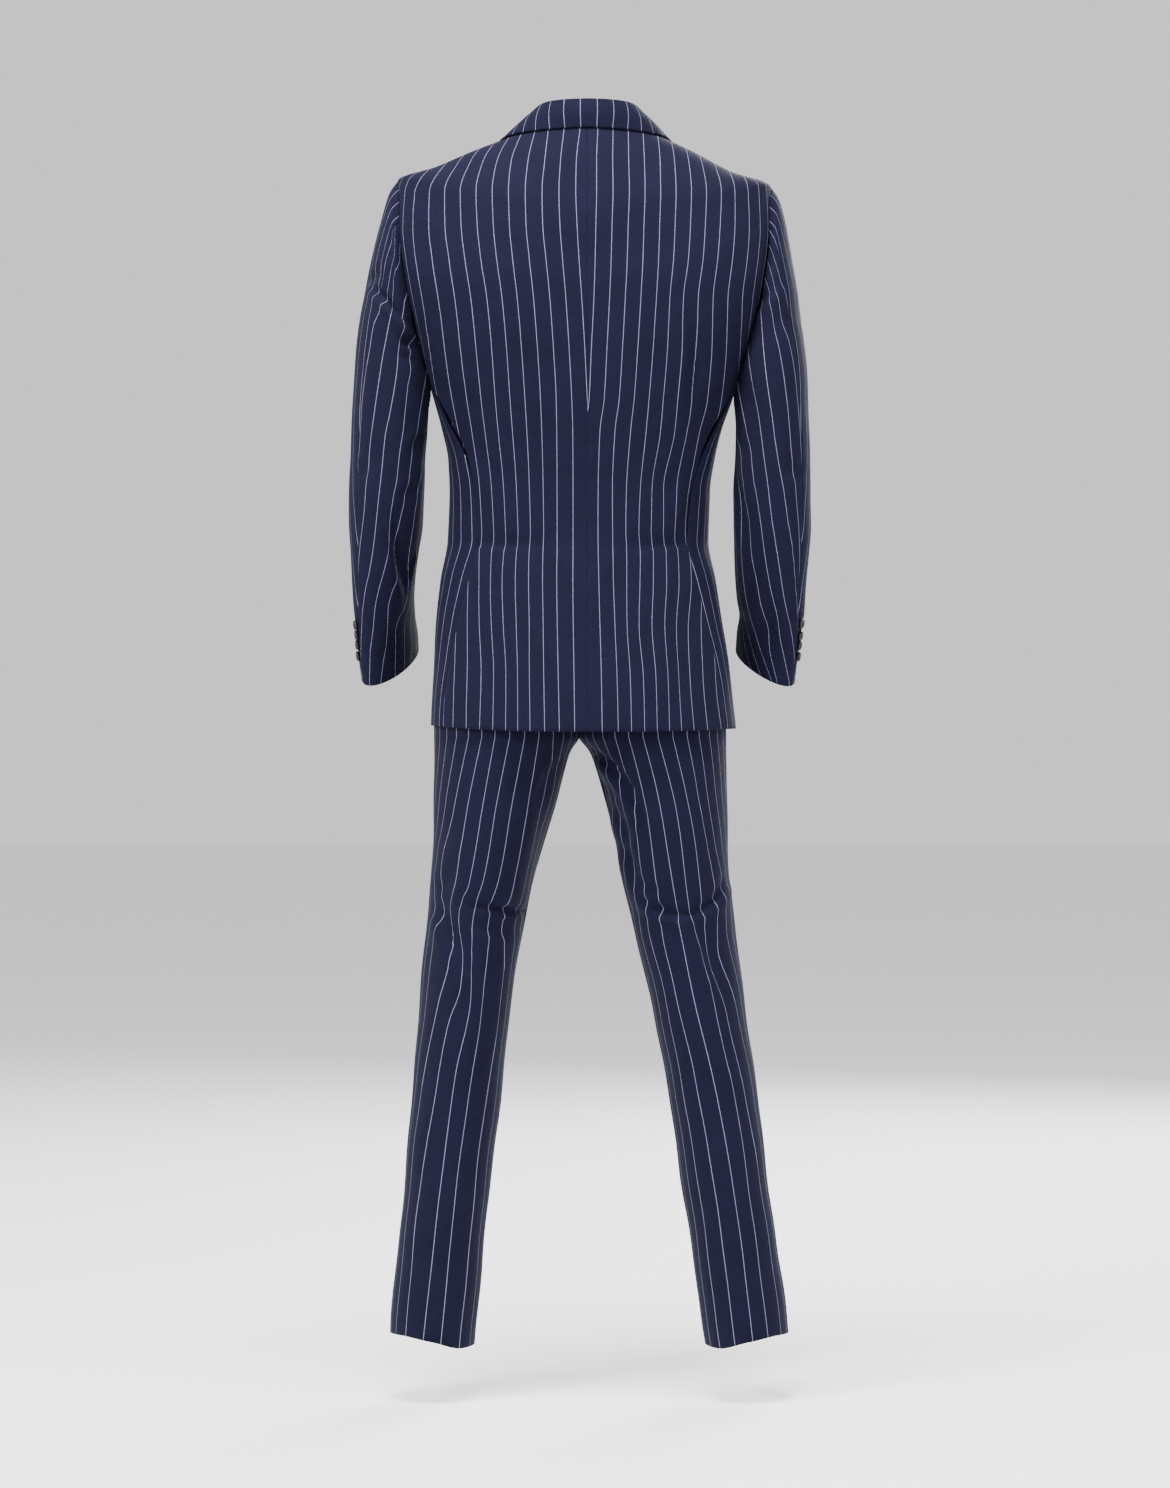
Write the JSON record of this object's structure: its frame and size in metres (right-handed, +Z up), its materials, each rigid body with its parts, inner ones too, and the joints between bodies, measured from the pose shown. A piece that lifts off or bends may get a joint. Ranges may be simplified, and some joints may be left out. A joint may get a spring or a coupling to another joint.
{
  "type": "three-piece suit",
  "caption": "Pinstripe wool suit in its worn form, hollow inside: jacket with lapels and vents at the cuffs, waistcoat beneath it, and straight trousers.",
  "frame": {"origin": "between the wearer's shoulders, on the suit's centre line, at the height of the neck points where the jacket hangs", "axes": "+Z up, -Y the way the wearer faces, so +X is the wearer's left"},
  "size_m": [0.5692, 0.2863, 1.5269],
  "materials": {
    "pinstripe_wool": "matt worsted",
    "dark_horn": "satin"
  },
  "bodies": {
    "root": {"jacket_back_left": "pinstripe_wool", "jacket_back_right": "pinstripe_wool", "jacket_side_left": "pinstripe_wool", "jacket_side_right": "pinstripe_wool", "jacket_front_left": "pinstripe_wool", "jacket_front_right": "pinstripe_wool", "jacket_lapel_left": "pinstripe_wool", "jacket_lapel_right": "pinstripe_wool", "jacket_collar": "pinstripe_wool", "jacket_collar_stand": "pinstripe_wool", "jacket_flap_left": "pinstripe_wool", "jacket_flap_right": "pinstripe_wool", "jacket_breast_welt": "pinstripe_wool", "jacket_top_sleeve_left": "pinstripe_wool", "jacket_top_sleeve_right": "pinstripe_wool", "jacket_under_sleeve_left": "pinstripe_wool", "jacket_under_sleeve_right": "pinstripe_wool", "waistcoat_back_left": "pinstripe_wool", "waistcoat_back_right": "pinstripe_wool", "waistcoat_front_left": "pinstripe_wool", "waistcoat_front_right": "pinstripe_wool", "trousers_back_left": "pinstripe_wool", "trousers_back_right": "pinstripe_wool", "trousers_front_left": "pinstripe_wool", "trousers_front_right": "pinstripe_wool", "trousers_waistband": "pinstripe_wool", "trousers_fly": "pinstripe_wool", "jacket_button_1": "dark_horn", "jacket_button_2": "dark_horn", "trousers_waistband_button": "dark_horn", "jacket_cuff_button_left_1": "dark_horn", "jacket_cuff_button_left_2": "dark_horn", "jacket_cuff_button_left_3": "dark_horn", "jacket_cuff_button_left_4": "dark_horn", "jacket_cuff_button_right_1": "dark_horn", "jacket_cuff_button_right_2": "dark_horn", "jacket_cuff_button_right_3": "dark_horn", "jacket_cuff_button_right_4": "dark_horn", "waistcoat_button_1": "dark_horn", "waistcoat_button_2": "dark_horn", "waistcoat_button_3": "dark_horn", "waistcoat_button_4": "dark_horn", "waistcoat_button_5": "dark_horn"}
  },
  "joints": []
}
